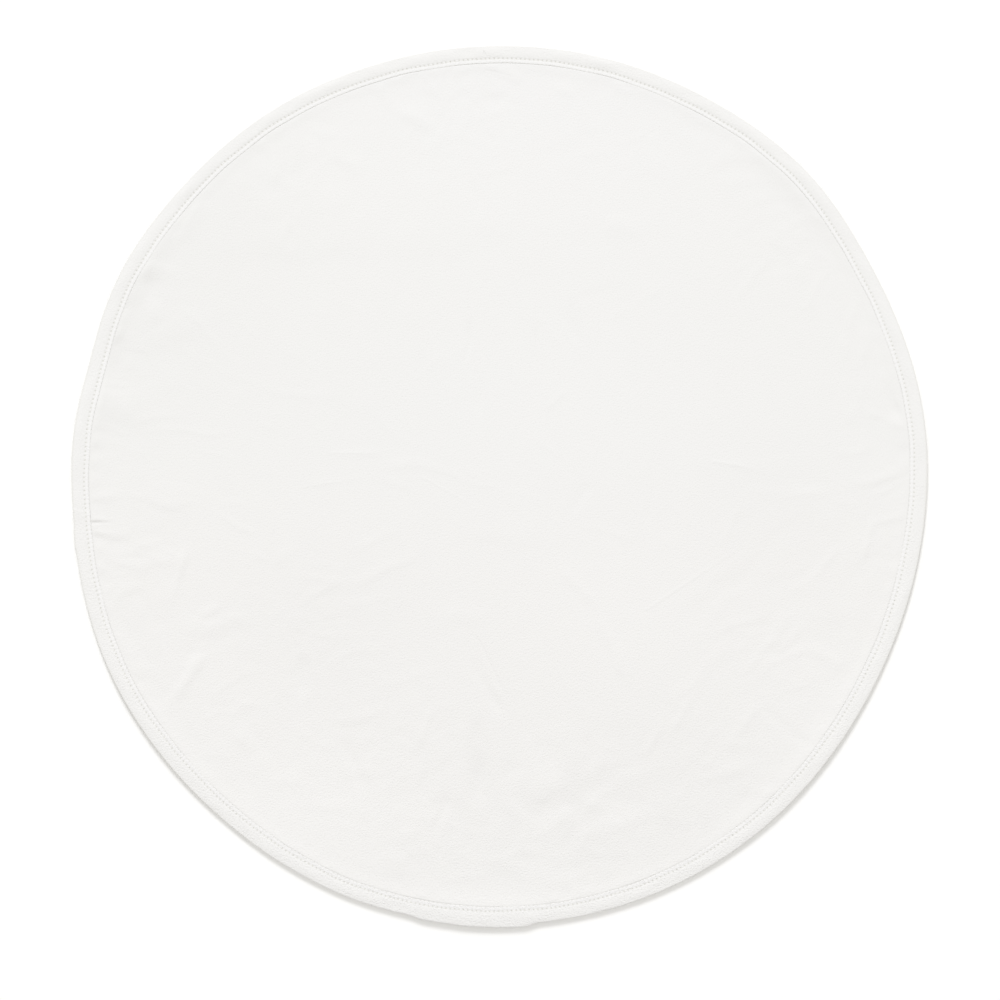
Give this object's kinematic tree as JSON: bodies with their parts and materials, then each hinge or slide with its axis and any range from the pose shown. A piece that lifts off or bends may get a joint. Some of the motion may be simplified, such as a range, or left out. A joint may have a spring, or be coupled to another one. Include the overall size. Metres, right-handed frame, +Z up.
{
  "type": "round blanket",
  "caption": "Flat round blanket of soft brushed cotton with a folded binding sewn round its edge, lying nearly smooth.",
  "frame": {"origin": "under the middle of the blanket's outline, on the surface it lies on", "axes": "+Z up, through the cloth's thickness; +Y along the slightly longer way across, towards the top of the picture; +X to the right of the picture"},
  "size_m": [0.7888, 0.8124, 0.0062],
  "materials": {
    "cloth": "off-white brushed cotton with a short soft nap, matte",
    "binding": "off-white cotton binding, smoother than the cloth, sewn with matching thread"
  },
  "bodies": {
    "root": {"cloth": "cloth", "binding": "binding"}
  },
  "joints": []
}
